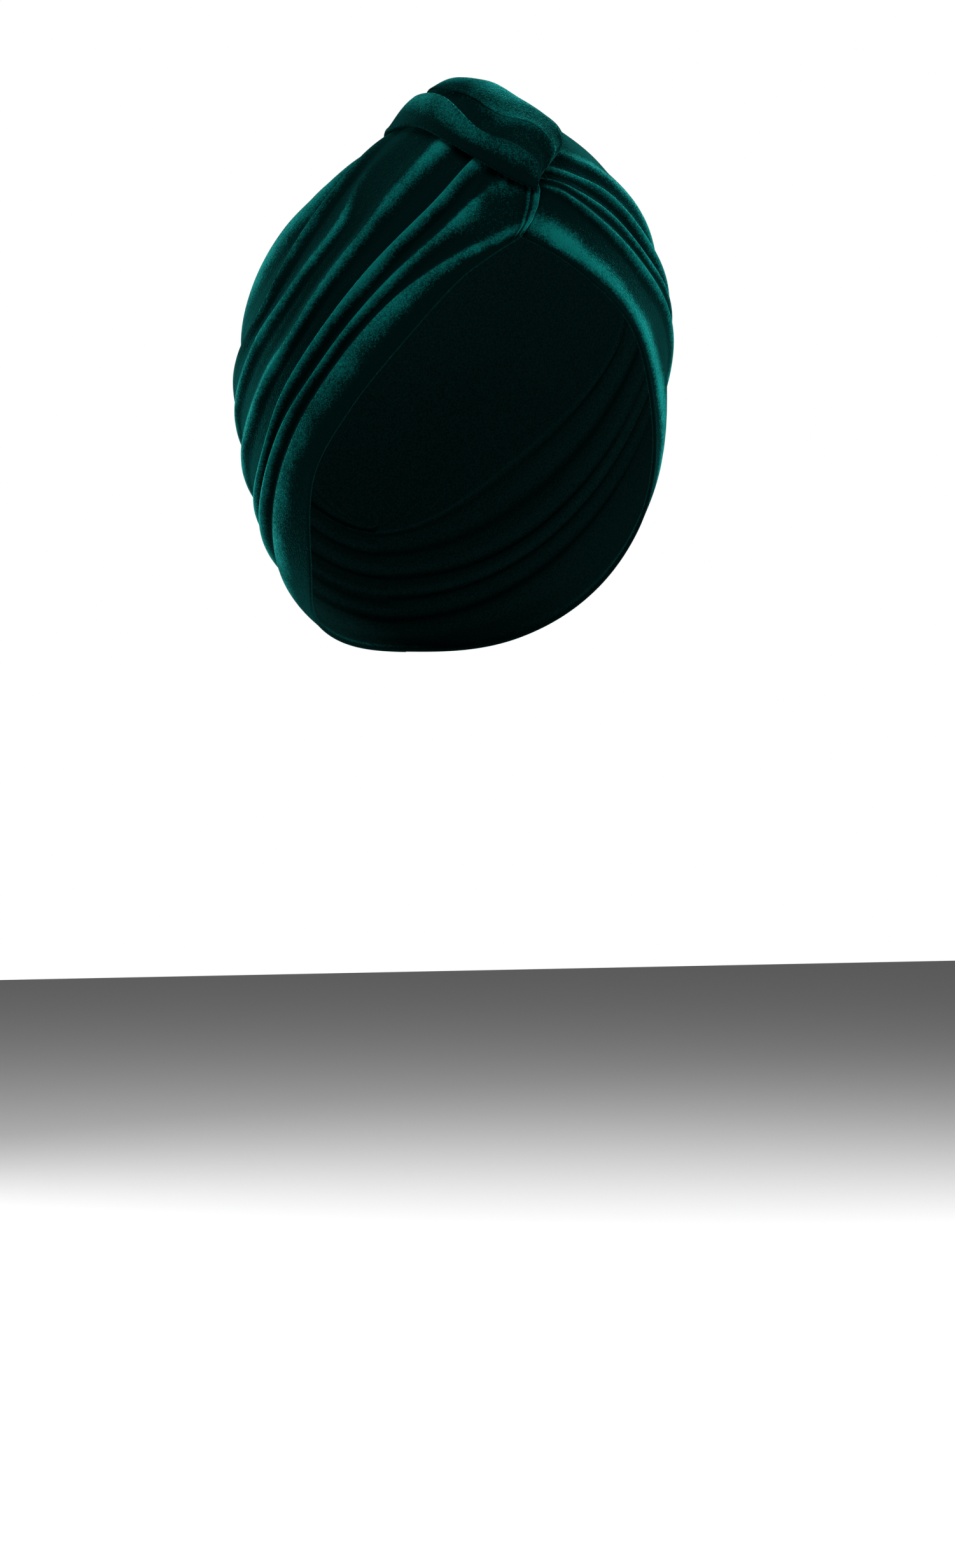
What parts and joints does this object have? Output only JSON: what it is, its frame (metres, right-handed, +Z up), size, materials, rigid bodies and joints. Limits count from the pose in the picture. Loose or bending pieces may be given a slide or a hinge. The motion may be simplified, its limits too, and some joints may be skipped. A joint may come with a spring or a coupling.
{
  "type": "turban headwrap",
  "caption": "Pre-tied velvet turban: two pleated side panels, a gathered knot band over the front and a smooth crown, shaped as worn.",
  "frame": {"origin": "the seat: the point on the inner face of the crown, at its top on the wrap's middle plane, where the top of a head sits", "axes": "+Z up as worn, -Y towards the wearer's face and the knot, +X towards the wearer's left"},
  "size_m": [0.169, 0.189, 0.217],
  "materials": {
    "velvet": "dark emerald stretch velvet, short sheared pile, matt with a bright sheen at grazing angles"
  },
  "bodies": {
    "root": {"crown": "velvet", "right_panel": "velvet", "left_panel": "velvet", "knot_band": "velvet"}
  },
  "joints": []
}
